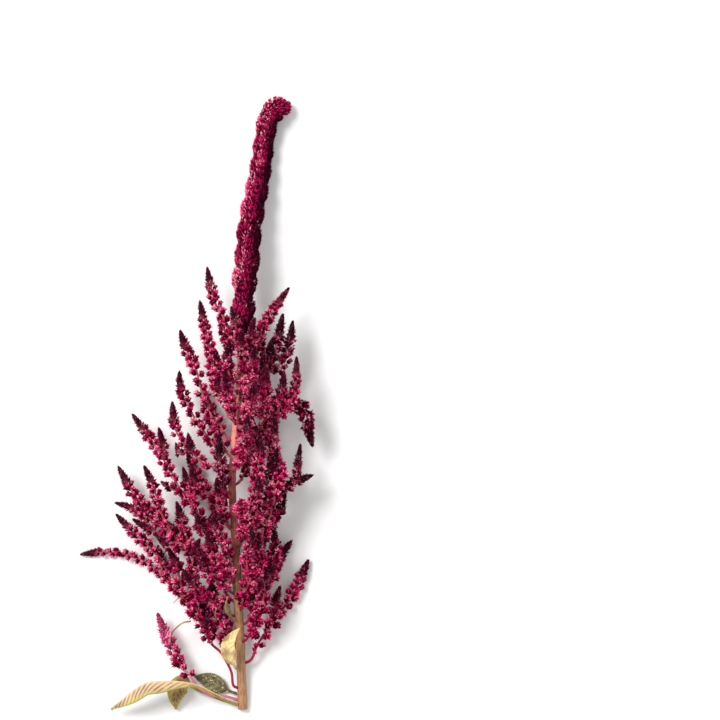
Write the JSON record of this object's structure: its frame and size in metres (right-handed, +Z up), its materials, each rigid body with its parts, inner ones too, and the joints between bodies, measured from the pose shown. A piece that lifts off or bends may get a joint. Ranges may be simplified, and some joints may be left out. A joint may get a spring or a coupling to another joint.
{
  "type": "amaranth seed head",
  "caption": "Dried amaranth seed head lying on its back: a hooked terminal spike, side sprays of knotted red florets round a bare cut stem, and small leaves at its foot.",
  "frame": {"origin": "on the surface that the head lies on, under the middle of its box", "axes": "+Y runs up the head from the cut stem to the hooked tip, +X to the head's right as the camera sees it, +Z up from the surface"},
  "size_m": [0.2119, 0.5513, 0.092],
  "materials": {
    "stem": "matt dry stem",
    "florets": "matt",
    "dark_florets": "matt",
    "pink_florets": "matt",
    "pale_leaf": "dry leaf",
    "bright_leaf": "fresh leaf",
    "dark_leaf": "dry leaf"
  },
  "bodies": {
    "root": {"main_stem": "stem", "terminal_spike": "florets", "left_spray_1": "florets", "left_spray_2": "florets", "left_spray_3": "florets", "left_spray_4": "florets", "left_spray_5": "florets", "left_spray_6": "dark_florets", "left_spray_7": "florets", "left_spray_8": "florets", "left_spray_9": "florets", "left_spray_10": "pink_florets", "left_spray_11": "florets", "left_spray_12": "florets", "left_spray_13": "florets", "left_spray_14": "florets", "left_spray_15": "florets", "left_spray_16": "florets", "right_spray_1": "florets", "right_spray_2": "dark_florets", "right_spray_3": "florets", "right_spray_4": "dark_florets", "right_spray_5": "dark_florets", "right_spray_6": "florets", "right_spray_7": "florets", "right_spray_8": "dark_florets", "right_spray_9": "florets", "right_spray_10": "florets", "right_spray_11": "florets", "right_spray_12": "florets", "right_spray_13": "florets", "right_spray_14": "florets", "right_spray_15": "florets", "right_spray_16": "florets", "front_spray_1": "florets", "front_spray_2": "florets", "front_spray_3": "florets", "front_spray_4": "florets", "front_spray_5": "florets", "front_spray_6": "florets", "front_spray_7": "florets", "front_spray_8": "florets", "front_spray_9": "florets", "front_spray_10": "florets", "back_spray_1": "florets", "back_spray_2": "florets", "back_spray_3": "florets", "back_spray_4": "florets", "back_spray_5": "florets", "back_spray_6": "florets", "back_spray_7": "florets", "back_spray_8": "florets", "back_spray_9": "florets", "back_spray_10": "florets", "back_spray_11": "florets", "arched_leaf": "pale_leaf", "hanging_leaf": "pale_leaf", "bright_leaf": "bright_leaf", "bract": "pale_leaf", "dark_leaf": "dark_leaf"}
  },
  "joints": []
}
